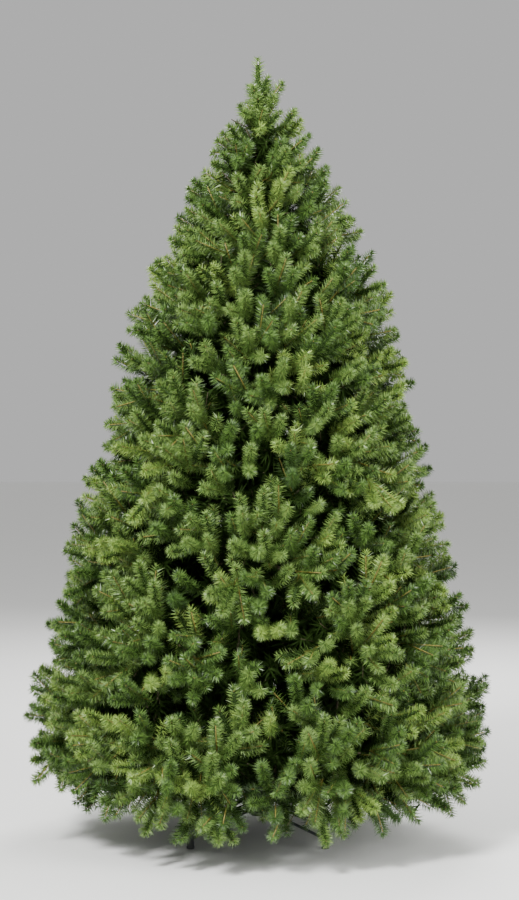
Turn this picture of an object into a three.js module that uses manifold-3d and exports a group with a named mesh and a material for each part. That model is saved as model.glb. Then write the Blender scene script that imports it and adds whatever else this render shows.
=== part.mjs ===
// An artificial spruce: a Christmas tree with moulded needle tips on a steel pole, in its folding stand.
// Millimetres, +Z up. The origin lies on the floor, under the middle of the pole.
//
// The pole stands in the cup of the stand. Whorls of limbs leave its collars. The limbs of the three lowest
// whorls start as bare boughs; higher up they are needled right to the pole. Every limb carries one mass of
// foliage: a stem, twigs that leave it by a seeded rule, and a five-fingered spray of needles on each twig.
import * as THREE from "three";
import { mergeVertices } from "three/addons/utils/BufferGeometryUtils.js";
import Module from "manifold-3d";

const wasm = await Module();
wasm.setup();

// ---- Driving dimensions ------------------------------------------------------------------------------

const TREE_HEIGHT = 2250;
const CROWN_RADIUS = 668; // the reach of the lowest limbs
const WIDEST_Z = 265; // the height of that reach
const CROWN_SWELL = 1.6; // 1 would be a straight cone; more rounds the outline out above its foot
const LOWEST_CROWN_Z = 165; // the lowest tips at full reach
const LOWEST_TIP_Z = 88; // the lowest of all, under the crown
const CLEARANCE = 0.3; // between solids that touch on the real tree

// Each whorl: the height it leaves the pole, how steeply its limbs rise, how many there are, and the bare length.
const WHORLS = [
  { z: 365, rise: -9, count: 6, turn: 0, bare: 150 },
  { z: 560, rise: 2, count: 5, turn: 90, bare: 135 },
  { z: 790, rise: 6, count: 5, turn: 54, bare: 120 },
  { z: 1030, rise: 11, count: 5, turn: 90, bare: 0 },
  { z: 1250, rise: 17, count: 4, turn: 20, bare: 0 },
  { z: 1455, rise: 29, count: 4, turn: 65, bare: 0 },
  { z: 1655, rise: 46, count: 3, turn: 30, bare: 0 },
];
const POLE_TOP_Z = 1855;

const POLE_SECTIONS = [
  { top: 900, radius: 16 },
  { top: 1580, radius: 14 },
  { top: POLE_TOP_Z, radius: 11 },
];
const POLE_SIDES = 12;
const COLLAR_RADIUS = 25;
const COLLAR_HEIGHT = 22;
const CHAMFER = 4;

const LIMB_RADIUS = 8; // at the pole
const STEM_RADIUS = 4.5; // where a limb's end spray starts
const TWIG_RADIUS = 5; // at its fork
const TWIG_TIP_RADIUS = 3.5; // where its spray starts
const SLANT = 0.8; // how far back a fork lies, as a share of the tip's distance from the line that it leaves
const SLANT_SPREAD = 0.4;

const SPRAY_LENGTH = 235;
const SPRAY_SHARE = 0.9; // of the way from its fork to its tip, at most
const SHORTEST_SPRAY = 105;
const SPRAY_SHRINK = 0.006; // for each further try
const SPRAY_THICKNESS = 0.28; // of its length
const SPRAY_MIDDLE = 0.46; // the thickest place, as a share of the length
// Half of a spray's outline, in shares of its length: two side fingers and half of the blunt end finger.
const HALF_SPRAY = [
  [0.42, 0.37],
  [0.5, 0.14],
  [0.83, 0.3],
  [0.82, 0.1],
  [1, 0.07],
];

const CELL_MARGIN = 7; // how much nearer to its own limb than to any other a spray keeps
const TIP_MARGIN = 12; // sprays keep this far out from the end of a bare bough, or from the leader's foot
const SPRAY_SPACING = 0.145; // between the fingers of two sprays on one limb, as a share of the spray's length
const POLE_MARGIN = 38; // sprays keep this far out along their limb
const FLOOR_MARGIN = 4; // how far below the lowest tips a spray's fingers may hang
const FIRST_FORK = 14; // from a stem's foot to its first fork
const FIRST_TWIG_FORK = 20; // from a twig's foot to its first fork
const TRIES = 40;
const STRAY_TURN = 0.9; // degrees round the pole that each further try may stray
const STRAY_Z = 5;
const STRAY_IN = 0.004; // of the crown's reach
const SEED = 28;

// The short inner growth, as a ridged core round each stem: shares of the limb's reach along it, and of the room
// round it at its ridges and furrows.
const CORE = { start: 0.1, end: 0.92, rings: 3, sides: 8, ridge: 0.77, furrow: 0.42, depth: 0.9 };
const CORE_MARGINS = { bough: 25, leader: 20 }; // from a bare bough's end, or from the leader's foot
const WIDEST_CORE = 230;

const CROWN_SPRAYS = 172;
const SPIRAL_TOP = TREE_HEIGHT - 50;
const SPIRAL_POWER = 0.585; // spreads the sprays evenly over the crown, from its top down
const UNDERSIDE = { count: 18, inside: 0.32, outside: 0.88, spreadZ: 60 };
const GOLDEN_ANGLE = 137.508;

const STAND = {
  cupBottom: 58,
  cupTop: 196,
  cupRadius: 21,
  cupFloor: 5,
  flangeRadius: 37,
  flangeThickness: 4,
  lowerFlange: 68,
  upperFlange: 122,
  screwRadius: 4,
  rodRadius: 4,
  pinReach: 30, // from the pole's middle to a leg's hinge pin
  footReach: 265, // from the pole's middle to a foot
  footHeight: 72,
  footRadius: 11,
  footTopRadius: 9,
  lowerRodAtFoot: 26,
  upperRodAtFoot: 62,
  legAngles: [45, 135, 225, 315],
};

const PLASTIC_GREEN = { color: "#55663a", roughness: 0.6, metalness: 0 };
const WIRE_BROWN = { color: "#5a4a2c", roughness: 0.7, metalness: 0 };
const POLE_GREEN = { color: "#26331f", roughness: 0.45, metalness: 0.3 };
const STEEL_BLACK = { color: "#26282a", roughness: 0.45, metalness: 0.6 };
const RUBBER_GREY = { color: "#3a3d3c", roughness: 0.8, metalness: 0 };

// ---- Small tools -------------------------------------------------------------------------------------

const radians = THREE.MathUtils.degToRad;
const UP = new THREE.Vector3(0, 0, 1);

function seeded(seed) {
  let state = seed >>> 0;
  return () => {
    state = (Math.imul(state, 1664525) + 1013904223) >>> 0;
    return state / 2 ** 32;
  };
}

function aimed(azimuth, rise) {
  return new THREE.Vector3(
    Math.cos(radians(azimuth)) * Math.cos(radians(rise)),
    Math.sin(radians(azimuth)) * Math.cos(radians(rise)),
    Math.sin(radians(rise)),
  );
}

function along(start, direction, distance) {
  return start.clone().addScaledVector(direction, distance);
}

// The first of the nearest, by a measure of distance.
function nearest(choices, distance) {
  return choices.reduce((best, other) => (distance(other) < distance(best) ? other : best));
}

function solid(geometry) {
  const bare = geometry.clone();
  bare.deleteAttribute("normal");
  bare.deleteAttribute("uv");
  const merged = mergeVertices(bare, 1e-3);
  return new wasm.Manifold(
    new wasm.Mesh({
      numProp: 3,
      vertProperties: new Float32Array(merged.attributes.position.array),
      triVerts: new Uint32Array(merged.index.array),
    }),
  );
}

function geometryOf(shape) {
  const { numProp, vertProperties, triVerts, numVert } = shape.getMesh();
  const positions = new Float32Array(numVert * 3);
  for (let i = 0; i < numVert; i += 1) {
    positions.set(vertProperties.subarray(i * numProp, i * numProp + 3), i * 3);
  }
  const geometry = new THREE.BufferGeometry();
  geometry.setAttribute("position", new THREE.BufferAttribute(positions, 3));
  geometry.setIndex(new THREE.BufferAttribute(new Uint32Array(triVerts), 1));
  return geometry;
}

function piece(name, geometry, finish) {
  const mesh = new THREE.Mesh(geometry, new THREE.MeshStandardMaterial(finish));
  mesh.name = name;
  return mesh;
}

// A tapering rod between two points.
function rod(from, to, startRadius, endRadius, sides) {
  const length = from.distanceTo(to);
  const geometry = new THREE.CylinderGeometry(endRadius, startRadius, length, sides);
  const axis = to.clone().sub(from).normalize();
  geometry.applyQuaternion(new THREE.Quaternion().setFromUnitVectors(new THREE.Vector3(0, 1, 0), axis));
  const middle = from.clone().add(to).multiplyScalar(0.5);
  return geometry.translate(middle.x, middle.y, middle.z);
}

// A profile of [radius, height] pairs turned round the pole's axis.
function turned(profile, sides) {
  const geometry = new THREE.LatheGeometry(
    profile.map(([radius, height]) => new THREE.Vector2(radius, height)),
    sides,
  );
  return geometry.rotateX(Math.PI / 2);
}

// ---- Pole --------------------------------------------------------------------------------------------

const poleFoot = STAND.cupBottom + STAND.cupFloor + CLEARANCE;

function poleRadiusAt(z) {
  return POLE_SECTIONS.find((section) => z <= section.top).radius;
}

// The pole steps in at each section, and wears a chamfered collar under every whorl.
function poleProfile(extra) {
  const steps = [];
  for (const section of POLE_SECTIONS) {
    const next = section.top === POLE_TOP_Z ? -extra : poleRadiusAt(section.top + 1);
    steps.push({ z: section.top, before: section.radius, after: next });
  }
  for (const { z } of WHORLS) {
    const radius = poleRadiusAt(z);
    const half = COLLAR_HEIGHT / 2;
    steps.push({ z: z - half - CHAMFER, before: radius, after: radius });
    steps.push({ z: z - half, before: COLLAR_RADIUS, after: COLLAR_RADIUS });
    steps.push({ z: z + half, before: COLLAR_RADIUS, after: COLLAR_RADIUS });
    steps.push({ z: z + half + CHAMFER, before: radius, after: radius });
  }
  steps.sort((a, b) => a.z - b.z);
  const profile = [
    [0, poleFoot],
    [POLE_SECTIONS[0].radius + extra, poleFoot],
  ];
  for (const { z, before, after } of steps) {
    profile.push([before + extra, z]);
    if (after !== before) {
      profile.push([after + extra, z]);
    }
  }
  return profile;
}

// ---- Crown outline and limbs -------------------------------------------------------------------------

function depthDown(z) {
  return (TREE_HEIGHT - z) / (TREE_HEIGHT - WIDEST_Z);
}

function crownReach(z) {
  return CROWN_RADIUS * (1 - (1 - THREE.MathUtils.clamp(depthDown(z), 0, 1)) ** CROWN_SWELL);
}

// The distance along a limb at which it would leave the crown.
function limbReach(origin, direction) {
  let inside = 0;
  let outside = 2 * CROWN_RADIUS;
  while (outside - inside > 0.5) {
    const middle = (inside + outside) / 2;
    const point = along(origin, direction, middle);
    if (Math.hypot(point.x, point.y) < crownReach(Math.max(point.z, WIDEST_Z))) {
      inside = middle;
    } else {
      outside = middle;
    }
  }
  return inside;
}

function limbs() {
  const made = [];
  WHORLS.forEach((whorl, tier) => {
    for (let i = 0; i < whorl.count; i += 1) {
      const azimuth = whorl.turn + (360 / whorl.count) * i;
      const origin = new THREE.Vector3(0, 0, whorl.z);
      const direction = aimed(azimuth, whorl.rise);
      made.push({
        name: `${tier + 1}_${i + 1}`,
        origin,
        direction,
        bare: whorl.bare,
        reach: limbReach(origin, direction),
      });
    }
  });
  const leaderFoot = new THREE.Vector3(0, 0, POLE_TOP_Z);
  made.push({
    name: "leader",
    origin: leaderFoot,
    direction: UP.clone(),
    bare: 0,
    reach: TREE_HEIGHT - POLE_TOP_Z,
  });
  return made;
}

const LIMBS = limbs();
const LEADER = LIMBS[LIMBS.length - 1];

function distanceToLimb(point, limb) {
  const share = THREE.MathUtils.clamp(point.clone().sub(limb.origin).dot(limb.direction), 0, limb.reach);
  return point.distanceTo(along(limb.origin, limb.direction, share));
}

function limbRadiusAt(limb, distance) {
  return THREE.MathUtils.lerp(LIMB_RADIUS, STEM_RADIUS, distance / (limb.reach - SPRAY_LENGTH));
}

function nearestLimb(point) {
  return nearest(LIMBS, (limb) => distanceToLimb(point, limb));
}

// ---- Sprays ------------------------------------------------------------------------------------------

// A spray at the end of its twig, and its own axes: forward along both, sideways across its fingers, and the
// normal of its flat face.
function sprayFrame(fork, tip, roll, length, forkRadius, footRadius) {
  const forward = tip.clone().sub(fork).normalize();
  const level = new THREE.Vector3().crossVectors(UP, forward);
  if (level.length() < 0.05) {
    level.set(1, 0, 0);
  }
  const sideways = level.normalize().applyAxisAngle(forward, radians(roll));
  const normal = new THREE.Vector3().crossVectors(forward, sideways);
  const foot = along(tip, forward, -length);
  return { fork, foot, forward, sideways, normal, length, forkRadius, footRadius };
}

function sprayPoint(frame, share, across, out) {
  return along(frame.foot, frame.forward, share * frame.length)
    .addScaledVector(frame.sideways, across * frame.length)
    .addScaledVector(frame.normal, out);
}

// The twig's three-sided section at a point: right, left and top.
function twigSection(frame, centre, radius) {
  return [-30, 210, 90].map((angle) =>
    along(centre, frame.sideways, Math.cos(radians(angle)) * radius).addScaledVector(
      frame.normal,
      Math.sin(radians(angle)) * radius,
    ),
  );
}

// One closed body: a three-sided twig that opens into a toothed blade. The blade is its outline ring with a fan
// of faces up to the middle on either side, and the ring's two ends are corners of the twig's section.
function sprayGeometry(frame) {
  const [right, left, top] = twigSection(frame, frame.foot, frame.footRadius);
  const outline = (side) => HALF_SPRAY.map(([share, across]) => sprayPoint(frame, share, side * across, 0));
  const ring = [right, ...outline(1), ...outline(-1).reverse(), left];
  const half = sprayThickness(frame) / 2;
  const peaks = [half, -half].map((out) => sprayPoint(frame, SPRAY_MIDDLE, 0, out));
  const points = [...ring, top, ...peaks, ...twigSection(frame, frame.fork, frame.forkRadius)];
  const last = ring.length - 1;
  const crest = ring.length;
  const [over, under, footRight, footLeft, footTop] = [1, 2, 3, 4, 5].map((step) => crest + step);
  const faces = [crest, last, over, 0, crest, over, last, 0, under, footRight, footLeft, footTop];
  for (let i = 0; i < last; i += 1) {
    faces.push(i + 1, i, over, i, i + 1, under);
  }
  for (const [from, to, footFrom, footTo] of [
    [last, crest, footLeft, footTop],
    [crest, 0, footTop, footRight],
    [0, last, footRight, footLeft],
  ]) {
    faces.push(from, to, footTo, from, footTo, footFrom);
  }
  const geometry = new THREE.BufferGeometry().setFromPoints(points);
  geometry.setIndex(faces);
  return geometry;
}

function sprayThickness(frame) {
  return SPRAY_THICKNESS * frame.length;
}

// Points along a spray's stem and fingers, and its two thickest places, which stand for it where it is measured.
function sprayPoints(frame) {
  const half = sprayThickness(frame) / 2;
  const points = [0.15, 0.75, 1].map((share) => sprayPoint(frame, share, 0, 0));
  points.push(sprayPoint(frame, SPRAY_MIDDLE, 0, half), sprayPoint(frame, SPRAY_MIDDLE, 0, -half));
  for (const [share, across] of [HALF_SPRAY[0], HALF_SPRAY[2]]) {
    for (const side of [across, -across]) {
      points.push(sprayPoint(frame, share, side, 0), sprayPoint(frame, share - 0.12, side / 2, 0));
    }
  }
  return points;
}

// A spray fits if its points stay nearer to its own limb than to the others, beyond the bare bough, off the floor
// and clear of the sprays before it.
function fits(points, limb, taken, spacing) {
  const start = Math.max(limb.bare + TIP_MARGIN, limb === LEADER ? TIP_MARGIN : POLE_MARGIN);
  return points.every((point) => {
    const own = distanceToLimb(point, limb) + CELL_MARGIN;
    return (
      point.clone().sub(limb.origin).dot(limb.direction) > start &&
      point.z > LOWEST_TIP_Z - FLOOR_MARGIN &&
      LIMBS.every((other) => other === limb || distanceToLimb(point, other) > own) &&
      taken.every((other) => other.distanceTo(point) > spacing)
    );
  });
}

function onCrown(azimuth, z, share) {
  const reach = crownReach(Math.max(z, WIDEST_Z)) * share;
  return new THREE.Vector3(Math.cos(radians(azimuth)) * reach, Math.sin(radians(azimuth)) * reach, z);
}

// Wanted tips: a golden-angle spiral spreads them evenly over the crown, and another over its underside.
function wantedSprays() {
  const wanted = [];
  for (let i = 0; i < CROWN_SPRAYS; i += 1) {
    const depth = ((i + 0.5) / CROWN_SPRAYS) ** SPIRAL_POWER;
    const z = SPIRAL_TOP - depth * (SPIRAL_TOP - LOWEST_CROWN_Z);
    wanted.push({ azimuth: i * GOLDEN_ANGLE, z, reach: 1 });
  }
  const { count, inside, outside, spreadZ } = UNDERSIDE;
  for (let i = 0; i < count; i += 1) {
    const share = Math.sqrt((i + 0.5) / count);
    const z = LOWEST_TIP_Z + spreadZ * (i % 2) * share;
    wanted.push({ azimuth: i * GOLDEN_ANGLE, z, reach: inside + (outside - inside) * share });
  }
  return wanted;
}

// ---- Masses of foliage -------------------------------------------------------------------------------

// A mass starts as its stem with a spray on the end. The stem is the first line that twigs can leave.
function seedling(limb) {
  const start = limb.bare ? limb.bare + CLEARANCE : limb === LEADER ? CLEARANCE : 0;
  const foot = along(limb.origin, limb.direction, start);
  const tip = along(limb.origin, limb.direction, limb.reach);
  const frame = sprayFrame(foot, tip, 0, SPRAY_LENGTH, limbRadiusAt(limb, start), STEM_RADIUS);
  const first = Math.max(start, limb === LEADER ? 0 : COLLAR_RADIUS) + FIRST_FORK;
  const last = limb.reach - frame.length;
  return {
    limb,
    lines: [{ from: limb.origin, direction: limb.direction, first, last }],
    frames: [frame],
    taken: sprayPoints(frame),
  };
}

function awayFromLine(line, point) {
  const ahead = THREE.MathUtils.clamp(point.clone().sub(line.from).dot(line.direction), line.first, line.last);
  return point.distanceTo(along(line.from, line.direction, ahead));
}

// The place on a line where a twig to this tip leaves it.
function forkOn(line, tip, slant) {
  const ahead = tip.clone().sub(line.from).dot(line.direction) - awayFromLine(line, tip) * slant;
  return along(line.from, line.direction, THREE.MathUtils.clamp(ahead, line.first, line.last));
}

// One spray near a wanted tip, on a twig from the nearest stem or twig. Each further try strays further and is
// smaller, until one fits. Otherwise it is skipped.
function grow(masses, wanted, index) {
  for (let attempt = 0; attempt < TRIES; attempt += 1) {
    const random = seeded(SEED + index * 7919 + attempt * 104729);
    random();
    const azimuth = wanted.azimuth + (random() * 2 - 1) * STRAY_TURN * attempt;
    const z = Math.max(wanted.z + (random() * 2 - 1) * STRAY_Z * attempt, LOWEST_TIP_Z);
    const tip = onCrown(azimuth, z, wanted.reach * (1 - STRAY_IN * attempt));
    const slant = SLANT + SLANT_SPREAD * (random() * 2 - 1);
    const wish = SPRAY_LENGTH * (1 - SPRAY_SHRINK * attempt) * (1.06 - 0.12 * random());
    const roll = (random() * 2 - 1) * 90;
    const { limb, lines, frames, taken } = masses.get(nearestLimb(tip));
    const fork = forkOn(nearest(lines, (line) => awayFromLine(line, tip)), tip, slant);
    const room = fork.distanceTo(tip);
    const length = Math.min(wish, SPRAY_SHARE * room);
    const frame = sprayFrame(fork, tip, roll, length, TWIG_RADIUS, TWIG_TIP_RADIUS);
    const points = sprayPoints(frame);
    if (length > SHORTEST_SPRAY && fits(points, limb, taken, length * SPRAY_SPACING)) {
      const last = Math.max(room - length, FIRST_TWIG_FORK);
      lines.push({ from: fork, direction: frame.forward, first: FIRST_TWIG_FORK, last });
      frames.push(frame);
      taken.push(...points);
      return;
    }
  }
}

// How far it is from a stem, in one direction, to the next limb's space, the crown's surface or the lowest tips.
function roomRound(limb, start, direction) {
  let inside = 0;
  let outside = WIDEST_CORE;
  while (outside - inside > 1) {
    const middle = (inside + outside) / 2;
    const point = along(start, direction, middle);
    const shallow = Math.hypot(point.x, point.y) < crownReach(Math.max(point.z, WIDEST_Z)) * CORE.depth;
    if (shallow && point.z > LOWEST_CROWN_Z && nearestLimb(point) === limb) {
      inside = middle;
    } else {
      outside = middle;
    }
  }
  return inside;
}

function coreGeometry(limb) {
  const foot = limb === LEADER ? CORE_MARGINS.leader : POLE_MARGIN;
  const begin = Math.max(limb.reach * CORE.start, limb.bare + CORE_MARGINS.bough, foot);
  const finish = limb.reach * CORE.end;
  const { sideways, normal } = sprayFrame(limb.origin, along(limb.origin, limb.direction, 1), 0, 1, 1, 1);
  const at = (share) => along(limb.origin, limb.direction, THREE.MathUtils.lerp(begin, finish, share));
  const points = [at(0)];
  for (let ring = 0; ring < CORE.rings; ring += 1) {
    const centre = at((ring + 0.8) / (CORE.rings + 0.8));
    for (let side = 0; side < CORE.sides; side += 1) {
      const angle = (2 * Math.PI * side) / CORE.sides;
      const across = sideways.clone().multiplyScalar(Math.cos(angle));
      const direction = across.addScaledVector(normal, Math.sin(angle));
      const share = (side + ring) % 2 ? CORE.ridge : CORE.furrow;
      points.push(along(centre, direction, roomRound(limb, centre, direction) * share));
    }
  }
  points.push(at(1));
  const crest = points.length - 1;
  const corner = (ring, side) => 1 + ring * CORE.sides + (side % CORE.sides);
  const faces = [];
  for (let side = 0; side < CORE.sides; side += 1) {
    faces.push(0, corner(0, side + 1), corner(0, side));
    faces.push(crest, corner(CORE.rings - 1, side), corner(CORE.rings - 1, side + 1));
    for (let ring = 0; ring < CORE.rings - 1; ring += 1) {
      const [a, b] = [corner(ring, side), corner(ring, side + 1)];
      const [c, d] = [corner(ring + 1, side + 1), corner(ring + 1, side)];
      faces.push(a, b, c, a, c, d);
    }
  }
  const geometry = new THREE.BufferGeometry().setFromPoints(points);
  geometry.setIndex(faces);
  return geometry;
}

// The largest body of a solid: fusing can leave a scrap, or seal a hollow, which comes away as a body of its own.
function wholeBody(shape) {
  return shape.decompose().sort((a, b) => b.volume() - a.volume())[0];
}

function foliage(poleClear) {
  const masses = new Map(LIMBS.map((limb) => [limb, seedling(limb)]));
  wantedSprays().forEach((wanted, index) => grow(masses, wanted, index));
  return LIMBS.map((limb) => {
    const parts = [coreGeometry(limb), ...masses.get(limb).frames.map(sprayGeometry)];
    const fused = wasm.Manifold.union(parts.map(solid));
    const clear = limb.bare || limb === LEADER ? fused : fused.subtract(poleClear);
    return piece(`foliage_${limb.name}`, geometryOf(wholeBody(clear)), PLASTIC_GREEN);
  });
}

function boughs(poleClear) {
  return LIMBS.filter((limb) => limb.bare).map((limb) => {
    const tip = along(limb.origin, limb.direction, limb.bare);
    const whole = rod(limb.origin, tip, LIMB_RADIUS, limbRadiusAt(limb, limb.bare), 6);
    const bough = solid(whole).subtract(poleClear);
    return piece(`bough_${limb.name}`, geometryOf(bough), WIRE_BROWN);
  });
}

// ---- Stand -------------------------------------------------------------------------------------------

// A cup for the pole, and two flanges that hold the hinge pins of the legs between them.
function standHub() {
  const inner = POLE_SECTIONS[0].radius + CLEARANCE * 1.5;
  const profile = [
    [0, STAND.cupBottom],
    [STAND.cupRadius, STAND.cupBottom],
  ];
  for (const z of [STAND.lowerFlange, STAND.upperFlange]) {
    profile.push(
      [STAND.cupRadius, z],
      [STAND.flangeRadius, z],
      [STAND.flangeRadius, z + STAND.flangeThickness],
      [STAND.cupRadius, z + STAND.flangeThickness],
    );
  }
  profile.push(
    [STAND.cupRadius, STAND.cupTop],
    [inner, STAND.cupTop],
    [inner, STAND.cupBottom + STAND.cupFloor],
    [0, STAND.cupBottom + STAND.cupFloor],
  );
  const thumbScrewZ = (STAND.upperFlange + STAND.cupTop) / 2 + 8;
  const screwFoot = new THREE.Vector3(0, -STAND.cupRadius + 2, thumbScrewZ);
  const screwHead = new THREE.Vector3(0, -STAND.cupRadius - 30, thumbScrewZ);
  const screw = rod(screwFoot, screwHead, STAND.screwRadius, STAND.screwRadius, 6);
  const wing = new THREE.BoxGeometry(26, 5, 12).translate(0, -STAND.cupRadius - 31, thumbScrewZ);
  return piece(
    "stand_hub",
    geometryOf(wasm.Manifold.union([turned(profile, POLE_SIDES), screw, wing].map(solid))),
    STEEL_BLACK,
  );
}

function footGeometry(angle) {
  const at = aimed(angle, 0).multiplyScalar(STAND.footReach);
  const geometry = turned(
    [
      [0, 0],
      [STAND.footRadius, 0],
      [STAND.footRadius, 6],
      [STAND.footTopRadius, STAND.footHeight - 3],
      [STAND.footTopRadius - 3, STAND.footHeight],
      [0, STAND.footHeight],
    ],
    10,
  );
  return geometry.rotateZ(radians(angle)).translate(at.x, at.y, 0);
}

// A leg is a steel rod bent into a flat loop: a hinge pin at the hub, and two bars out into the rubber foot.
function standLeg(angle, name) {
  const out = aimed(angle, 0);
  const pinBottom = STAND.lowerFlange + STAND.flangeThickness + CLEARANCE;
  const pinTop = STAND.upperFlange - CLEARANCE;
  const pinAt = (z) => out.clone().multiplyScalar(STAND.pinReach).setZ(z);
  const endAt = (z) => out.clone().multiplyScalar(STAND.footReach).setZ(z);
  const r = STAND.rodRadius;
  const bars = [
    rod(pinAt(pinBottom), pinAt(pinTop), r, r, 6),
    rod(pinAt(pinBottom + r), endAt(STAND.lowerRodAtFoot), r, r, 6),
    rod(pinAt(pinTop - r), endAt(STAND.upperRodAtFoot), r, r, 6),
  ];
  const clear = footGeometry(angle);
  const wider = 1 + CLEARANCE / STAND.footTopRadius;
  const at = out.clone().multiplyScalar(STAND.footReach);
  clear.translate(-at.x, -at.y, 0).scale(wider, wider, 1).translate(at.x, at.y, 0);
  const slab = new THREE.BoxGeometry(3 * STAND.flangeRadius, 3 * STAND.flangeRadius, STAND.flangeThickness);
  const lower = slab.clone().translate(0, 0, pinBottom - STAND.flangeThickness / 2);
  const upper = slab.clone().translate(0, 0, pinTop + STAND.flangeThickness / 2);
  let leg = wasm.Manifold.union(bars.map(solid));
  for (const cutter of [clear, lower, upper]) {
    leg = leg.subtract(solid(cutter));
  }
  return piece(name, geometryOf(wholeBody(leg)), STEEL_BLACK);
}

function stand() {
  const pieces = [standHub()];
  STAND.legAngles.forEach((angle, i) => {
    pieces.push(standLeg(angle, `stand_leg_${i + 1}`));
    pieces.push(piece(`stand_foot_${i + 1}`, footGeometry(angle), RUBBER_GREY));
  });
  return pieces;
}

// ---- The tree ----------------------------------------------------------------------------------------

const tree = new THREE.Group();
const poleClear = solid(turned(poleProfile(CLEARANCE), POLE_SIDES));
tree.add(piece("pole", turned(poleProfile(0), POLE_SIDES), POLE_GREEN));
tree.add(...boughs(poleClear));
tree.add(...foliage(poleClear));
tree.add(...stand());

export default tree;
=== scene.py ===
# %% [markdown]
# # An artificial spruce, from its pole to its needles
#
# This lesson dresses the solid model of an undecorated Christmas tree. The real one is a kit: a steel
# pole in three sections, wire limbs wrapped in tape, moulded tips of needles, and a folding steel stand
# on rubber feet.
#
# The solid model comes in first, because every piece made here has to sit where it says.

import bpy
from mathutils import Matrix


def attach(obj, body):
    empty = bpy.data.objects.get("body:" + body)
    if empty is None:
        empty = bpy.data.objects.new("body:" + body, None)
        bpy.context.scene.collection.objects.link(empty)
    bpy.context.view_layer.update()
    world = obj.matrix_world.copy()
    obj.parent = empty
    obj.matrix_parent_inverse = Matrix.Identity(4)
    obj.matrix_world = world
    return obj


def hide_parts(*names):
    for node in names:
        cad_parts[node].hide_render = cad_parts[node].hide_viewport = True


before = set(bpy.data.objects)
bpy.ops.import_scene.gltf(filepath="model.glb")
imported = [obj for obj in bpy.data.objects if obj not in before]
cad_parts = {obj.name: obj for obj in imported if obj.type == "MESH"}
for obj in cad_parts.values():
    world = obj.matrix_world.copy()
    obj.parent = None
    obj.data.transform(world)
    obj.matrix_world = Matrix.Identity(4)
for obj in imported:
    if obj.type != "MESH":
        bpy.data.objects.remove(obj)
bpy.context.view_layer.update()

# %% Modules and units
import math

import bpy
import numpy as np

MM = 0.001  # every size below is in millimetres, and Blender's are in metres
UP, RIGHT = np.array([0.0, 0.0, 1.0]), np.array([1.0, 0.0, 0.0])

# %% [markdown]
# ## Camera
#
# A tree of this height is best shown from some metres away with a long lens, so that the crown's
# outline isn't bent. The camera stands level, a little below the middle of the tree. It could track an
# empty, but a fixed place and a quarter turn say the same in three lines.

# %% Set the camera up
CAMERA_PLACE = (0.0043, -5.5, 1.108)
CAMERA_LENS = 76.45

camera = bpy.data.objects.new("camera", bpy.data.cameras.new("camera"))
bpy.context.scene.collection.objects.link(camera)
camera.location = CAMERA_PLACE
camera.rotation_euler = (math.radians(90), 0, 0)
camera.data.lens = CAMERA_LENS
bpy.context.scene.camera = camera
print("camera:", CAMERA_PLACE, "m, lens", CAMERA_LENS, "mm")

# %% [markdown]
# ## Colours and nodes
#
# Paint and plastic are matched as sRGB hex values, and Blender's shaders want linear light. One
# function turns the first into the second. Another adds a node, sets it and links it, and serves every
# material.


# %% Colour and node helpers
def linear(hex_colour):
    """An sRGB hex colour as linear red, green, blue and full opacity."""
    shares = [int(hex_colour[start : start + 2], 16) / 255 for start in (1, 3, 5)]
    return (*[s / 12.92 if s <= 0.04045 else ((s + 0.055) / 1.055) ** 2.4 for s in shares], 1.0)


def add_node(material, kind, inputs=None, **settings):
    """Adds a node. An input is a plain value, or the output of another node to link."""
    tree = material.node_tree
    made = tree.nodes.new(kind)
    for name, value in settings.items():
        setattr(made, name, value)
    for name, value in (inputs or {}).items():
        if isinstance(value, bpy.types.NodeSocket):
            tree.links.new(value, made.inputs[name])
        else:
            made.inputs[name].default_value = value
    return made


def new_material(name, **shader_inputs):
    """A material with one Principled shader, and that shader."""
    material = bpy.data.materials.new(name)
    material.use_nodes = True
    shader = material.node_tree.nodes["Principled BSDF"]
    for socket, value in shader_inputs.items():
        shader.inputs[socket.replace("_", " ")].default_value = value
    return material, shader


# %% [markdown]
# ## Needle plastic
#
# The tips are injection moulded from polyethylene, hundreds of needles at once: a dull, slightly waxy
# green. The maker mixes several greens, so that neighbouring sprays differ and the tree doesn't look
# painted.
#
# Each needle is far too thin for a pattern to show on it, so one green is one plain colour. The variety
# comes from dealing the greens out by spray, and then making some needles a green lighter or darker.
# Sprays deeper in the crown are dealt darker greens, as painted shade, and needles towards a finger's end
# are paler, partly as painted light. Inside the crown the growth is cut from flat PVC film, painted dark
# green as shade.

# %% Needle greens
# The darker greens go mostly to sprays deep in the crown, as painted shade. The paler ones go to the
# outside and to the fingers' ends, partly as painted light.
NEEDLE_GREENS = {
    "shade": "#2f481d",
    "deep": "#436028",
    "middle": "#587734",
    "fresh": "#708c44",
    "young": "#87a24b",
}
needle_materials = {}
for tint, colour in NEEDLE_GREENS.items():
    needle_materials[tint], _ = new_material(
        f"moulded_polyethylene_{tint}", Base_Color=linear(colour), Roughness=0.36, IOR=1.51
    )
# The film's dark green is painted shade: it stands for the shadow deep inside the crown.
shaded_film_material, _ = new_material(
    "cut_pvc_film", Base_Color=linear("#1f300f"), Roughness=0.7, Specular_IOR_Level=0.05
)
# The roots' dark green, darker than any needle, is painted shade between the needles.
shaded_root_material, _ = new_material(
    "moulded_needle_roots", Base_Color=linear("#263a14"), Roughness=0.7, Specular_IOR_Level=0.15
)
# The twig wire is dark brown tape, made darker still as painted shade in the gaps of the crown.
twig_material, _ = new_material("taped_twig_wire", Base_Color=linear("#3a331b"), Roughness=0.7, IOR=1.5)
stem_material, _ = new_material("moulded_ochre_stem", Base_Color=linear("#7f7430"), Roughness=0.5, IOR=1.51)
print("greens:", ", ".join(NEEDLE_GREENS))

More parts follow.
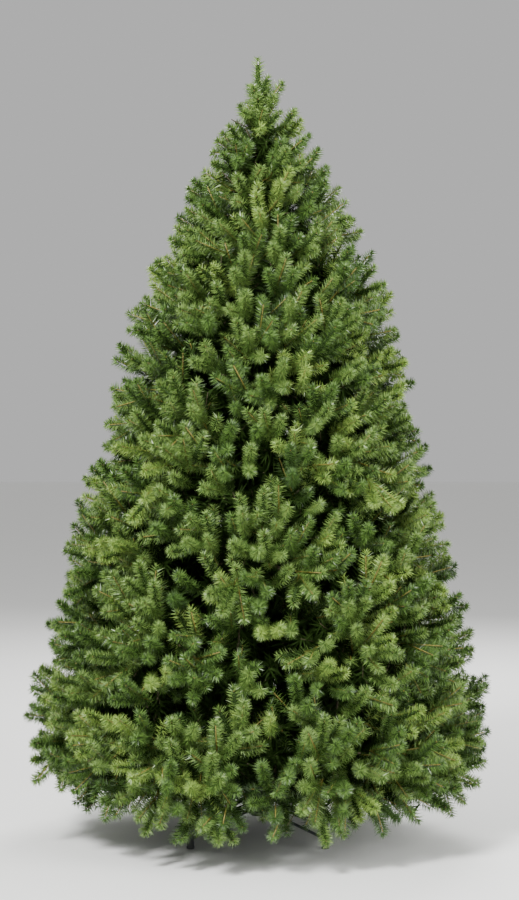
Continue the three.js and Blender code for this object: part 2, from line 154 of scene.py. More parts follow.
# %% [markdown]
# ## Tape, powder coat and rubber
#
# The limbs are steel wire in a spiral of matt paper-like tape, brown with green showing between the
# turns. The pole and the stand are powder coated: the powder flows out into a fine orange peel, about 1.5
# mm from crest to crest. The feet are moulded rubber, evenly matt, with dust in its pores.


# %% Coated and moulded finishes
def mottled(name, dark, light, size_mm, relief_mm, **shader_inputs):
    """A material whose colour drifts between two tones over spots of a real size, with a fine relief."""
    material, shader = new_material(name, **shader_inputs)
    place = add_node(material, "ShaderNodeTexCoord").outputs["Object"]
    spot_inputs = {"Vector": place, "Scale": 1 / (size_mm * MM), "Detail": 3.0}
    spots = add_node(material, "ShaderNodeTexNoise", spot_inputs)
    tone_inputs = {"Factor": spots.outputs["Fac"], "A": linear(dark), "B": linear(light)}
    tone = add_node(material, "ShaderNodeMix", tone_inputs, data_type="RGBA")
    bump_inputs = {"Height": spots.outputs["Fac"], "Distance": relief_mm * MM, "Strength": 0.6}
    bump = add_node(material, "ShaderNodeBump", bump_inputs)
    material.node_tree.links.new(tone.outputs["Result"], shader.inputs["Base Color"])
    material.node_tree.links.new(bump.outputs["Normal"], shader.inputs["Normal"])
    return material


tape_material = mottled("wound_paper_tape", "#3f3a1e", "#6f5a30", 3.0, 0.3, Roughness=0.8, IOR=1.45)
pole_material = mottled("green_powder_coat", "#202c1a", "#2c3b24", 1.5, 0.05, Roughness=0.42, IOR=1.5)
stand_material = mottled("black_powder_coat", "#1d1f20", "#2e3032", 1.5, 0.05, Roughness=0.42, IOR=1.5)
rubber_material = mottled("moulded_rubber", "#2c2e2d", "#464948", 2.0, 0.08, Roughness=0.8, IOR=1.52)

# %% [markdown]
# ## The limbs
#
# Seven whorls of limbs leave collars on the pole, and one more limb, the leader, goes on from its top.
# The outline of the crown sets how far each may reach. These are the numbers that the solid model was
# grown from, so that what grows here lands on it.

# %% The crown's outline and the limbs
TREE_HEIGHT, CROWN_RADIUS, WIDEST_Z, CROWN_SWELL = 2250, 668, 265, 1.6
LOWEST_CROWN_Z, LOWEST_TIP_Z = 165, 88
CLEARANCE, POLE_TOP_Z, COLLAR_RADIUS, REACH_PRECISION = 0.3, 1855, 25, 0.5
LIMB_RADIUS, STEM_RADIUS = 8, 4.5
SPRAY_LENGTH, SPRAY_SHARE, SHORTEST_SPRAY, SPRAY_SHRINK = 235, 0.9, 105, 0.006
WHORLS = [  # height, rise, count, turn, bare length
    (365, -9, 6, 0, 150),
    (560, 2, 5, 90, 135),
    (790, 6, 5, 54, 120),
    (1030, 11, 5, 90, 0),
    (1250, 17, 4, 20, 0),
    (1455, 29, 4, 65, 0),
    (1655, 46, 3, 30, 0),
]


def crown_reach(z):
    """How far from the pole the needles reach at a height."""
    depth = min(max((TREE_HEIGHT - max(z, WIDEST_Z)) / (TREE_HEIGHT - WIDEST_Z), 0), 1)
    return CROWN_RADIUS * (1 - (1 - depth) ** CROWN_SWELL)


def point_at(turn, reach, z):
    """A point from its turn in radians, its distance from the pole's axis and its height."""
    return np.array([math.cos(turn) * reach, math.sin(turn) * reach, z])


def aimed(azimuth, rise):
    """The direction of a limb, from its turn round the pole and its rise in degrees."""
    turn, tilt = math.radians(azimuth), math.radians(rise)
    return np.array([math.cos(turn) * math.cos(tilt), math.sin(turn) * math.cos(tilt), math.sin(tilt)])


def limb_reach(foot, way):
    """The distance at which a limb would leave the crown, found by halving."""
    inside, outside = 0.0, 2.0 * CROWN_RADIUS
    while outside - inside > REACH_PRECISION:
        middle = (inside + outside) / 2
        point = foot + way * middle
        if math.hypot(point[0], point[1]) < crown_reach(point[2]):
            inside = middle
        else:
            outside = middle
    return inside


limb_feet, limb_ways, limb_reaches, limb_bares, limb_names = [], [], [], [], []
for tier, (height, rise, count, turn, bare) in enumerate(WHORLS, start=1):
    for number in range(count):
        limb_feet.append(np.array([0.0, 0.0, height]))
        limb_ways.append(aimed(turn + 360 / count * number, rise))
        limb_reaches.append(limb_reach(limb_feet[-1], limb_ways[-1]))
        limb_bares.append(bare)
        limb_names.append(f"{tier}_{number + 1}")
limb_feet = np.array([*limb_feet, [0, 0, POLE_TOP_Z]], dtype=float)
limb_ways = np.array([*limb_ways, UP])
limb_reaches = np.array([*limb_reaches, TREE_HEIGHT - POLE_TOP_Z], dtype=float)
limb_bares, limb_names = [*limb_bares, 0], [*limb_names, "leader"]
LEADER = len(limb_names) - 1
print("limbs:", len(limb_names), "the longest", round(limb_reaches.max()), "mm")

# %% [markdown]
# ## Where the sprays go
#
# On the real tree a worker bends each tip to where the crown looks thin. The rule below does the same.
# Wanted tips lie on a golden-angle spiral over the crown, and each spray grows from the nearest limb or
# twig towards its tip. If its needles would touch a neighbour's, it tries again a little to the side.
#
# A particle system would scatter them quicker, but it can't keep each limb's sprays to that limb's own
# space. The draws come from one small generator with a fixed seed, so that the tree is the same every
# time.

# %% Seeded draws and a spray's own axes
SEED = 28
MULTIPLIER, INCREMENT, DRAW_RANGE = 1664525, 1013904223, 2**32
STEM_POINTS, SIDE_POINTS, SIDE_SETBACK = (0.15, 0.75, 1), [(0.42, 0.37), (0.83, 0.3)], 0.12
SPRAY_MIDDLE, SPRAY_THICKNESS, NEARLY_UPRIGHT = 0.46, 0.28, 0.05


def seeded(seed):
    """A function that draws the next number from 0 to 1, always the same ones for a seed."""
    state = seed % DRAW_RANGE

    def draw():
        nonlocal state
        state = (state * MULTIPLIER + INCREMENT) % DRAW_RANGE
        return state / DRAW_RANGE

    return draw


def swing(draw):
    """A draw from -1 to 1."""
    return draw() * 2 - 1


def unit(vector):
    return vector / np.linalg.norm(vector)


def new_spray(fork, tip, roll, length):
    """A spray at the end of its twig, with three axes: forward, sideways across its fingers, and normal."""
    forward = unit(tip - fork)
    level = np.cross(UP, forward)
    level = unit(level) if np.linalg.norm(level) >= NEARLY_UPRIGHT else RIGHT
    turn = math.radians(roll)
    sideways = level * math.cos(turn) + np.cross(forward, level) * math.sin(turn)
    foot = tip - forward * length
    return {
        "fork": fork,
        "foot": foot,
        "forward": forward,
        "sideways": sideways,
        "normal": np.cross(forward, sideways),
        "length": length,
    }


def on_spray(spray, share, across, out=0.0):
    """A point on a spray, in shares of its length."""
    step = spray["forward"] * share + spray["sideways"] * across + spray["normal"] * out
    return spray["foot"] + step * spray["length"]


def spray_points(spray):
    """The points along its stem and fingers that stand for a spray where room is measured."""
    half = SPRAY_THICKNESS / 2
    points = [on_spray(spray, share, 0) for share in STEM_POINTS]
    points += [on_spray(spray, SPRAY_MIDDLE, 0, out) for out in (half, -half)]
    for share, across in SIDE_POINTS:
        for side in (across, -across):
            points += [on_spray(spray, share, side), on_spray(spray, share - SIDE_SETBACK, side / 2)]
    return np.array(points)


# %% Room between the limbs
CELL_MARGIN, POLE_MARGIN, TIP_MARGIN, TIP_DROP = 7, 38, 12, 4


def limb_distances(points):
    """How far each point is from every limb."""
    offset = points[:, None, :] - limb_feet[None]
    ahead = np.clip(np.einsum("ijk,jk->ij", offset, limb_ways), 0, limb_reaches)
    return np.linalg.norm(offset - ahead[..., None] * limb_ways, axis=2)


def fits(points, limb, taken, spacing):
    """True if a spray stays in its limb's space, past the bare bough and clear of the sprays before it."""
    start = max(limb_bares[limb] + TIP_MARGIN, TIP_MARGIN if limb == LEADER else POLE_MARGIN)
    ahead = (points - limb_feet[limb]) @ limb_ways[limb]
    if ahead.min() <= start or points[:, 2].min() <= LOWEST_TIP_Z - TIP_DROP:
        return False
    distances = limb_distances(points)
    others = np.delete(distances, limb, axis=1).min(axis=1)
    if not (others > distances[:, limb] + CELL_MARGIN).all():
        return False
    return np.linalg.norm(points[:, None] - taken[None], axis=2).min() > spacing


# %% Twigs grow towards the wanted tips
SLANT, SLANT_SPREAD = 0.8, 0.4
STRAY_TURN, STRAY_Z, STRAY_IN, TRIES = 0.9, 5, 0.004, 40
SPRAY_SPACING, GOLDEN_ANGLE, ROLL_SPREAD = 0.145, 137.508, 90
WISH_MOST, WISH_SPREAD, STEM_MARGIN, TWIG_MARGIN = 1.06, 0.12, 14, 20
SPRAY_STRIDE, TRY_STRIDE = 7919, 104729  # primes, so that every try starts its draws elsewhere


def first_stem(limb):
    """A mass starts as its stem, the first line that twigs can leave, with a spray on the end."""
    bare = limb_bares[limb]
    start = bare + CLEARANCE if bare else CLEARANCE if limb == LEADER else 0
    foot, way, reach = limb_feet[limb], limb_ways[limb], limb_reaches[limb]
    spray = new_spray(foot + way * start, foot + way * reach, 0, SPRAY_LENGTH)
    first = max(start, 0 if limb == LEADER else COLLAR_RADIUS) + STEM_MARGIN
    lines = [(foot, way, first, reach - SPRAY_LENGTH)]
    return {"lines": lines, "sprays": [spray], "taken": spray_points(spray), "limb": limb}


def away_from(line, point):
    """How far a point is from a stem or twig."""
    foot, way, first, last = line
    ahead = min(max((point - foot) @ way, first), last)
    return np.linalg.norm(point - foot - way * ahead)


def grow(masses, wanted, index):
    """One spray near a wanted tip. Each further try strays further and is smaller, until one fits."""
    azimuth_wanted, z_wanted, reach_share = wanted
    for attempt in range(TRIES):
        draw = seeded(SEED + index * SPRAY_STRIDE + attempt * TRY_STRIDE)
        draw()  # thrown away, as in the solid model
        azimuth = math.radians(azimuth_wanted + swing(draw) * STRAY_TURN * attempt)
        z = max(z_wanted + swing(draw) * STRAY_Z * attempt, LOWEST_TIP_Z)
        reach = crown_reach(z) * reach_share * (1 - STRAY_IN * attempt)
        tip = point_at(azimuth, reach, z)
        slant = SLANT + SLANT_SPREAD * swing(draw)
        wish = SPRAY_LENGTH * (1 - SPRAY_SHRINK * attempt) * (WISH_MOST - WISH_SPREAD * draw())
        roll = swing(draw) * ROLL_SPREAD
        mass = masses[int(limb_distances(tip[None])[0].argmin())]
        foot, way, first, last = min(mass["lines"], key=lambda line: away_from(line, tip))
        ahead = (tip - foot) @ way - away_from((foot, way, first, last), tip) * slant
        fork = foot + way * min(max(ahead, first), last)
        room = np.linalg.norm(fork - tip)
        length = min(wish, SPRAY_SHARE * room)
        if length <= SHORTEST_SPRAY:
            continue
        spray = new_spray(fork, tip, roll, length)
        points = spray_points(spray)
        if fits(points, mass["limb"], mass["taken"], length * SPRAY_SPACING):
            mass["lines"].append((fork, spray["forward"], TWIG_MARGIN, max(room - length, TWIG_MARGIN)))
            mass["sprays"].append(spray)
            mass["taken"] = np.vstack([mass["taken"], points])
            return


# %% Grow the sprays of the solid model
CROWN_SPRAYS, SPIRAL_POWER, SPIRAL_TOP = 172, 0.585, TREE_HEIGHT - 50
UNDERSIDE_SPRAYS, UNDERSIDE_INSIDE, UNDERSIDE_OUTSIDE, UNDERSIDE_RISE = 18, 0.32, 0.88, 60


def spiral(count, reach, phase=0.0):
    """Wanted tips spread evenly over the crown from its top down."""
    tips = []
    for i in range(count):
        depth = ((i + 0.5) / count) ** SPIRAL_POWER
        tips.append((i * GOLDEN_ANGLE + phase, SPIRAL_TOP - depth * (SPIRAL_TOP - LOWEST_CROWN_Z), reach))
    return tips


def underside():
    """Wanted tips under the crown, from the pole outwards."""
    tips = []
    for i in range(UNDERSIDE_SPRAYS):
        share = math.sqrt((i + 0.5) / UNDERSIDE_SPRAYS)
        reach = UNDERSIDE_INSIDE + (UNDERSIDE_OUTSIDE - UNDERSIDE_INSIDE) * share
        tips.append((i * GOLDEN_ANGLE, LOWEST_TIP_Z + UNDERSIDE_RISE * (i % 2) * share, reach))
    return tips


masses = [first_stem(limb) for limb in range(len(limb_names))]
for index, wanted in enumerate(spiral(CROWN_SPRAYS, 1) + underside()):
    grow(masses, wanted, index)
for mass in masses:
    for spray in mass["sprays"]:
        spray["layer"] = "outer"
# The leader's tip is dealt the darker greens of the layer below, the ones that are painted shade.
masses[LEADER]["sprays"][0]["layer"] = "between"  # the leader's tip isn't pale
outer_count = sum(len(mass["sprays"]) for mass in masses)
print("sprays as in the solid model:", outer_count)

# %% [markdown]
# ## Finer growth where the crown looks thin
#
# The sprays so far make the outline. The real tree has more behind and between them. Candidate tips lie
# close together on the crown's surface, in two layers inside it, under it and round its rim, and one is
# taken wherever no finger of any spray ends near it. So the crown fills evenly however the limbs lie.
# Their twigs leave the nearest limb or twig, as before, and bend outwards.
#
# Branches spread by hand never come out quite even. So the reach of this growth swells and draws in a
# little by height, and a little more on one side. A side finger that would end outside it is bent in.

# %% Fingers on a spray
FINGERS = [  # root share, then share, across and out of the tip
    (0.3, 1.0, 0.0, 0.0),
    (0.32, 0.84, 0.31, -0.06),
    (0.4, 0.88, -0.29, 0.08),
    (0.02, 0.5, 0.37, 0.1),
    (0.08, 0.56, -0.35, -0.1),
]
LEADER_FINGERS = [
    (0.3, 1.0, 0.0, 0.0),
    (0.45, 0.79, 0.15, -0.05),
    (0.35, 0.69, -0.15, 0.06),
    (0.1, 0.55, 0.29, 0.08),
    (0.02, 0.38, -0.26, -0.1),
]
FEWER_BELOW, FEWER_FINGERS = 150, 3  # a spray shorter than this has this many
OUTSIDE_ALLOWANCE = 30  # a tip may stand this far out before it is bent in
BULGE_HEIGHTS = (180, 330, 480, 650, 950, 1250, 1500, 1850, 2100)
BULGES = (-32, 6, 0, -24, -21, 0, 43, 41, 20)  # how far past the solid crown, all round
LEANS = (20, 0, 3, 8, 6, 9, 10, 22, 27)  # so much further out on the right, and less far on the left


def fingers_for(spray):
    """Which fingers a spray has: fewer on a short one, and closer together on the leader's."""
    if spray is masses[LEADER]["sprays"][0]:
        return LEADER_FINGERS
    return FINGERS[:FEWER_FINGERS] if spray["length"] < FEWER_BELOW else FINGERS


def full_reach(azimuth, z):
    """The crown's reach with its finest growth, towards a turn in radians."""
    lean = float(np.interp(z, BULGE_HEIGHTS, LEANS)) * math.cos(azimuth)
    return crown_reach(z) + float(np.interp(z, BULGE_HEIGHTS, BULGES)) + lean


def depth_below(point):
    """How far inside the crown's surface a point lies."""
    return full_reach(math.atan2(point[1], point[0]), point[2]) - math.hypot(point[0], point[1])


def held_in(point):
    """A finger's tip, bent in if it would end outside the crown."""
    outside = -depth_below(point) - OUTSIDE_ALLOWANCE
    if outside <= 0:
        return point
    return point - np.array([point[0], point[1], 0]) * outside / math.hypot(point[0], point[1])


def finger_tips(spray):
    """Where the fingers of a spray end."""
    return [held_in(on_spray(spray, share, across, out)) for _, share, across, out in fingers_for(spray)]


# %% Sprays in the thin places
THIN_LAYERS = [  # candidates on the crown and under it, share of the reach, turn, gap in millimetres
    (3500, 110, 1.0, 61.0, 48),
    (2000, 0, 0.92, 41.0, 57),
    (2000, 110, 0.82, 23.0, 76),
]
REACH_LOW, REACH_SPREAD, BETWEEN_ABOVE = 0.87, 0.155, 0.87
UNDER_LIFT, UNDER_DISH, UNDER_DEEPER = 60, 10, 3  # inside, the underside lies three times as high
UNDER_REACH, UNDER_SPREAD = 0.3, 0.67
RIM_CANDIDATES, RIM_GAP, RIM_Z, RIM_LIFT = 220, 40, LOWEST_TIP_Z - 4, 45
RIM_REACH, RIM_REACH_SPREAD = 0.7, 0.25
HANGING, HANGING_GAP = [(-72.5, 0.92), (-64, 0.86)], 20  # turn and reach of two that hang low
HANGING_Z, LOWEST_FINGER_Z = LOWEST_TIP_Z - 10, LOWEST_TIP_Z - 26
OUTWARD_SHARE, TURN_SPREAD, RISE_SPREAD = 0.66, 60, 70
LENGTH_LOW, LENGTH_SPREAD = 0.8, 0.2
RIM_HEIGHTS, RIM_RISES = (90, 320), (-45, 34)  # sprays hang at the crown's rim and rise above it


def fork_towards(mass, tip):
    """Where a twig leaves its mass: on the nearest line that leaves it room for a full spray."""
    for foot, way, first, last in sorted(mass["lines"], key=lambda line: away_from(line, tip)):
        ahead = (tip - foot) @ way - away_from((foot, way, first, last), tip) * SLANT
        fork = foot + way * min(max(ahead, first), last)
        if np.linalg.norm(tip - fork) > SPRAY_LENGTH:
            return fork
    return mass["lines"][0][0] + mass["lines"][0][1] * mass["lines"][0][2]


def outward_spray(mass, tip, draw):
    """A spray whose twig leaves the nearest line of a mass, and bends to point out of the crown."""
    fork = fork_towards(mass, tip)
    room = np.linalg.norm(tip - fork)
    length = min(SPRAY_LENGTH * (LENGTH_LOW + LENGTH_SPREAD * draw()), SPRAY_SHARE * room)
    azimuth = math.degrees(math.atan2(tip[1], tip[0])) + TURN_SPREAD * (draw() - 0.5)
    rise = float(np.interp(tip[2], RIM_HEIGHTS, RIM_RISES))
    outward = aimed(azimuth, rise + RISE_SPREAD * (draw() - 0.5))
    forward = unit(unit(tip - fork) * (1 - OUTWARD_SHARE) + outward * OUTWARD_SHARE)
    spray = new_spray(tip - forward, tip, swing(draw) * ROLL_SPREAD, length)
    spray["fork"] = fork
    return spray


draw = seeded(SEED)
candidates = []
for count, count_under, reach, phase, gap in THIN_LAYERS:
    candidates += [(*wanted, gap) for wanted in spiral(count, reach, phase)]
    for number in range(count_under):
        share = math.sqrt((number + 0.5) / count_under)
        lift = UNDER_LIFT * draw() + UNDER_DISH * (1 - share)
        z = LOWEST_TIP_Z + lift * (1 if reach == 1 else UNDER_DEEPER)
        under_reach = reach * (UNDER_REACH + UNDER_SPREAD * share)
        candidates.append((number * GOLDEN_ANGLE, z, under_reach, gap))
for number in range(RIM_CANDIDATES):
    turn = 360 / RIM_CANDIDATES * (number + draw())
    z = RIM_Z + RIM_LIFT * draw()
    candidates.append((turn, z, RIM_REACH + RIM_REACH_SPREAD * draw(), RIM_GAP))
candidates += [(turn, HANGING_Z, reach, HANGING_GAP) for turn, reach in HANGING]
all_tips = np.array([tip for mass in masses for spray in mass["sprays"] for tip in finger_tips(spray)])
for azimuth, z, reach_share, gap in candidates:
    turn = math.radians(azimuth)
    reach = full_reach(turn, z) * reach_share * (REACH_LOW + REACH_SPREAD * draw())
    tip = point_at(turn, reach, z)
    if np.linalg.norm(all_tips - tip, axis=1).min() < gap:
        continue
    mass = masses[int(limb_distances(tip[None])[0].argmin())]
    spray = outward_spray(mass, tip, draw)
    tips = np.array(finger_tips(spray))
    if spray["length"] < SHORTEST_SPRAY or tips[:, 2].min() < LOWEST_FINGER_Z:
        continue
    spray["layer"] = "between" if reach_share > BETWEEN_ABOVE else "inner"
    mass["sprays"].append(spray)
    all_tips = np.vstack([all_tips, tips])
sprays = [spray for mass in masses for spray in mass["sprays"]]
print("sprays in thin places:", len(sprays) - outer_count)

# %% [markdown]
# ## One finger
#
# Each finger sags from its root and turns up again to the light. Its stem, its green and the side of the
# spray that faces out of the crown are all that the later steps need, so a finger is kept as those few
# values.

# %% Fingers of every spray
FINGER_JITTER, FINGER_SAG, SAG_LOW, TIP_ALLOWANCE = 0.035, 0.05, 0.5, 15
CROWDED_DEPTHS, CROWDED = (20, 110), (35, 58)  # deeper fingers may leave wider gaps
TINTS = list(NEEDLE_GREENS)
# The deeper a spray's layer, the darker its greens: painted shade, with the outer sprays the lightest.
TINT_SHARES = {  # running shares of the first four greens; the fifth comes only by needle
    "outer": (0.0, 0.2, 0.75, 1.0),
    "between": (0.05, 0.42, 0.88, 1.0),
    "inner": (0.5, 1.0, 1.0, 1.0),
}


def fingers_of(spray, draw):
    """The fingers of one spray, each with all that its stem and needles need."""
    sideways_out = spray["foot"] * [1, 1, 0]
    outer_side = sideways_out / max(np.linalg.norm(sideways_out), 1) + UP
    face = spray["normal"] if spray["normal"] @ outer_side > 0 else -spray["normal"]
    tint = int(np.searchsorted(TINT_SHARES[spray["layer"]], draw()))
    made = []
    for root_share, share, across, out in fingers_for(spray):
        jitter = [swing(draw) * FINGER_JITTER for _ in range(3)]
        root = on_spray(spray, root_share, 0)
        leads = share == 1
        if leads:
            tip = on_spray(spray, share, 0)
        else:
            tip = held_in(on_spray(spray, share + jitter[0], across + jitter[1], out + jitter[2]))
        length = np.linalg.norm(tip - root)
        end = tip - (tip - root) / length * TIP_ALLOWANCE
        sag = FINGER_SAG * length * (SAG_LOW + draw())
        made.append({"root": root, "end": end, "sag": sag, "tint": tint, "leads": leads, "face": face})
    return made


def uncrowded(fingers):
    """Leaves out a side finger that ends right beside another finger, which would only hide in it."""
    kept = [finger for finger in fingers if finger["leads"]]
    tips = np.array([finger["end"] for finger in kept])
    for finger in fingers:
        room = np.interp(depth_below(finger["end"]), CROWDED_DEPTHS, CROWDED)
        if not finger["leads"] and np.linalg.norm(tips - finger["end"], axis=1).min() > room:
            kept.append(finger)
            tips = np.vstack([tips, finger["end"]])
    return kept


draw = seeded(SEED)
every_finger = [finger for spray in sprays for finger in fingers_of(spray, draw)]
fingers = uncrowded(every_finger)
print("fingers left out:", len(every_finger) - len(fingers))
roots, ends, sags, finger_tints, finger_faces = (
    np.array([finger[key] for finger in fingers]) for key in ("root", "end", "sag", "tint", "face")
)
finger_lengths = np.linalg.norm(ends - roots, axis=1)
print("fingers:", len(fingers), "mean length", round(finger_lengths.mean()), "mm")

# %% [markdown]
# ## Needles
#
# Round each finger the needles stand in a spiral, tilted forward, closer together towards the tip, and
# close in a dome over its end. On one finger in two they part over the face, and the ochre stem shows
# there. There are hundreds of thousands of needles, so they are worked out all at once, as arrays: one
# row is one needle. Each is a pointed blade, turned by chance about its own length.


# %% Blades from arrays
STEEP = 0.9


def across_of(ways, draws):
    """For each direction, a unit vector square to it at a drawn turn."""
    helper = np.where(np.abs(ways[:, 2:]) < STEEP, UP, RIGHT)
    first = np.cross(helper, ways)
    first /= np.linalg.norm(first, axis=1)[:, None]
    second = np.cross(ways, first)
    turn = (draws * 2 * math.pi)[:, None]
    return first * np.cos(turn) + second * np.sin(turn)


def blades(starts, ways, lengths, root_width, draws):
    """Three corners for each needle: two at its root, and its point."""
    half = across_of(ways, draws) * root_width / 2
    return np.stack([starts - half, starts + half, starts + ways * lengths[:, None]], axis=1)


# %% Needles round the fingers
NEEDLE_LENGTH, NEEDLE_WIDTH, NEEDLE_START = 22, 3.0, 5
NEEDLE_LOW, NEEDLE_SPREAD, DOME_SHORTER = 0.8, 0.3, 0.5
SWELL_LOW, SWELL_RATE = 0.6, 4  # needles near a finger's root are shorter
DEPTHS, NEEDLES_PER_MM = (0, 55, 130), (3.1, 1.8, 1.0)  # at these depths below the crown's surface
ROOT_ANGLE, END_ANGLE, ANGLE_SPREAD, DOME_LENGTH = 64, 66, 6, 15
TIPWARD = 0.78  # below 1, the needles stand closer towards the tip
OPEN_EVERY, PARTING = 2, 0.84
FULL_ABOVE_Z = TREE_HEIGHT - 80  # the topmost fingers are seen from all sides and stay full
STEM_STEP = 0.02  # a stem's direction is taken over this share of it, either way
GOLDEN_TURN = math.radians(GOLDEN_ANGLE)
numbers = np.random.default_rng(SEED)

finger_depths = [depth_below(end) for end in ends]
finger_density = np.interp(finger_depths, DEPTHS, NEEDLES_PER_MM)
open_fingers = (np.arange(len(fingers)) % OPEN_EVERY == 0) & (ends[:, 2] < FULL_ABOVE_Z)
needle_counts = ((finger_lengths + TIP_ALLOWANCE) * finger_density).astype(int)
owner = np.repeat(np.arange(len(fingers)), needle_counts)
order = np.arange(len(owner)) - np.repeat(np.cumsum(needle_counts) - needle_counts, needle_counts)
share = ((order + 0.5) / needle_counts[owner]) ** TIPWARD


def finger_points(which, share):
    """Points along the stems of the given fingers. Each sags as a parabola, most in its middle."""
    straight = roots[which] + (ends - roots)[which] * share[:, None]
    return straight - UP * (sags[which] * 4 * share * (1 - share))[:, None]


needle_starts = finger_points(owner, share)
stem_ways = finger_points(owner, share + STEM_STEP) - finger_points(owner, share - STEM_STEP)
stem_ways /= np.linalg.norm(stem_ways, axis=1)[:, None]
spin = (order * GOLDEN_TURN / (2 * math.pi) + numbers.random(len(fingers))[owner]) % 1.0
outward = across_of(stem_ways, spin)
parted = open_fingers[owner] & (np.einsum("ij,ij->i", outward, finger_faces[owner]) > PARTING)
closing = np.clip(1 - (1 - share) * finger_lengths[owner] / DOME_LENGTH, 0, 1)
lean = ROOT_ANGLE + (END_ANGLE - ROOT_ANGLE) * share + numbers.normal(0, ANGLE_SPREAD, len(owner))
lean = np.radians(lean * (1 - closing * (1 - numbers.random(len(owner)) ** 0.5)))
needle_ways = stem_ways * np.cos(lean)[:, None] + outward * np.sin(lean)[:, None]
swell = np.clip(SWELL_LOW + share * SWELL_RATE, 0, 1)
needle_lengths = NEEDLE_LENGTH * swell * (NEEDLE_LOW + NEEDLE_SPREAD * numbers.random(len(owner)))
needle_lengths *= 1 - DOME_SHORTER * closing * np.cos(lean)
needle_starts = needle_starts + needle_ways * (NEEDLE_START * (1 - closing))[:, None]
print("needles:", int((~parted).sum()))
corners = blades(needle_starts, needle_ways, needle_lengths, NEEDLE_WIDTH, numbers.random(len(owner)))

# %% [markdown]
# ## From arrays to pieces
#
# A joined mesh renders and exports far better than as many objects, up to a point: past about 200,000
# triangles a piece is awkward to handle. So each green becomes one piece, or two where one would have
# more than that. The same small function turns any list of corners and faces into a Blender object, hides
# the solid nodes it stands for, and gives it its finish.

# %% Pieces from corners and faces
FOLIAGE_NODES = [f"foliage_{name}" for name in limb_names]
NO_CORNER = -1  # fills the fourth place of a three-cornered face
MOST_BLADES = 190_000


def make_piece(name, points, faces, material, slot, nodes, smooth=False):
    """One object from corners in millimetres and faces of three or four corners."""
    faces = np.asarray(faces, dtype=np.int32)
    used = faces != NO_CORNER
    mesh = bpy.data.meshes.new(name)
    mesh.vertices.add(len(points))
    mesh.vertices.foreach_set("co", (np.asarray(points) * MM).astype(np.float32).ravel())
    mesh.loops.add(int(used.sum()))
    mesh.loops.foreach_set("vertex_index", faces[used])
    mesh.polygons.add(len(faces))
    counts = used.sum(axis=1)
    mesh.polygons.foreach_set("loop_start", (np.cumsum(counts) - counts).astype(np.int32))
    mesh.polygons.foreach_set("use_smooth", np.full(len(faces), smooth))
    mesh.update(calc_edges=True)
    mesh.materials.append(material)
    piece = bpy.data.objects.new(name, mesh)
    bpy.context.scene.collection.objects.link(piece)
    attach(piece, "root")
    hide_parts(*nodes)
    print(f"{name}: {int((counts - 2).sum())} triangles")
    return piece


def make_blades(name, corners, material):
    """Pieces of needles, as many as it takes to keep each under the limit."""
    parts = max(1, math.ceil(len(corners) / MOST_BLADES))
    for part, chunk in enumerate(np.array_split(corners, parts), start=1):
        faces = np.arange(len(chunk) * 3).reshape(-1, 3)
        make_piece(f"{name}_{part}", chunk.reshape(-1, 3), faces, material, "foliage", FOLIAGE_NODES)


# %% Deal the needles out by tint
# Needles near a finger's end are made paler: partly the paler plastic of the tips, partly painted light
# where the ends stand out into the lamps.
PALE_TIP_FROM, PALE_TIP_SHARE, PALE_SHARE, DARK_SHARE = 0.6, 0.4, 0.3, 0.3
chance = numbers.random(len(owner))
paler = (chance < PALE_SHARE).astype(int) + ((share > PALE_TIP_FROM) & (chance > 1 - PALE_TIP_SHARE))
darker = (chance > PALE_SHARE) & (chance < PALE_SHARE + DARK_SHARE)
needle_tints = np.clip(finger_tints[owner] + paler - darker, 0, len(TINTS) - 1)
for number, tint in enumerate(TINTS):
    make_blades(f"needles_{tint}", corners[(needle_tints == number) & ~parted], needle_materials[tint])

# %% [markdown]
# ## Stems, twigs and limbs
#
# All of these are round bars along a path, so one function makes them: a ring of corners at each point of
# the path, walls between rings, and a fan of triangles over each end. A curve with a bevel would do as
# well, but arrays let thousands of stems join into one mesh.


# %% Bars along a path
NEARLY_ALONG = 0.95


def skinned(rings, first, last):
    """Walls between rings of corners, closed by a fan of triangles to the first and to the last point."""
    count, sides = rings.shape[:2]
    grid = np.arange(count * sides).reshape(count, sides)
    beside = np.roll(grid, -1, axis=1)
    walls = np.stack([grid[:-1], beside[:-1], beside[1:], grid[1:]], axis=-1).reshape(-1, 4)
    none = np.full(sides, NO_CORNER)
    start = np.stack([np.full(sides, count * sides), beside[0], grid[0], none], axis=-1)
    end = np.stack([np.full(sides, count * sides + 1), grid[-1], beside[-1], none], axis=-1)
    return np.vstack([rings.reshape(-1, 3), first, last]), np.vstack([walls, start, end])


def bar(path, radii, sides, helper=UP):
    """A round bar. radii is one number, one for each point of the path, or one for each corner."""
    path = np.asarray(path, dtype=float)
    ways = np.gradient(path, axis=0)
    ways /= np.linalg.norm(ways, axis=1)[:, None]
    if abs(ways[0] @ helper) > NEARLY_ALONG:
        helper = RIGHT
    right = np.cross(helper, ways)
    right /= np.linalg.norm(right, axis=1)[:, None]
    above = np.cross(ways, right)
    angles = 2 * math.pi * np.arange(sides) / sides
    spokes = np.cos(angles)[None, :, None] * right[:, None] + np.sin(angles)[None, :, None] * above[:, None]
    radii = np.asarray(radii, dtype=float)
    if radii.ndim == 1:
        radii = radii[:, None]
    rings = path[:, None] + spokes * np.broadcast_to(radii, (len(path), sides))[..., None]
    return skinned(rings, path[0], path[-1])


def joined(parts):
    """Several meshes as one."""
    points, faces, offset = [], [], 0
    for part_points, part_faces in parts:
        points.append(part_points)
        faces.append(np.where(part_faces == NO_CORNER, NO_CORNER, part_faces + offset))
        offset += len(part_points)
    return np.vstack(points), np.vstack(faces)


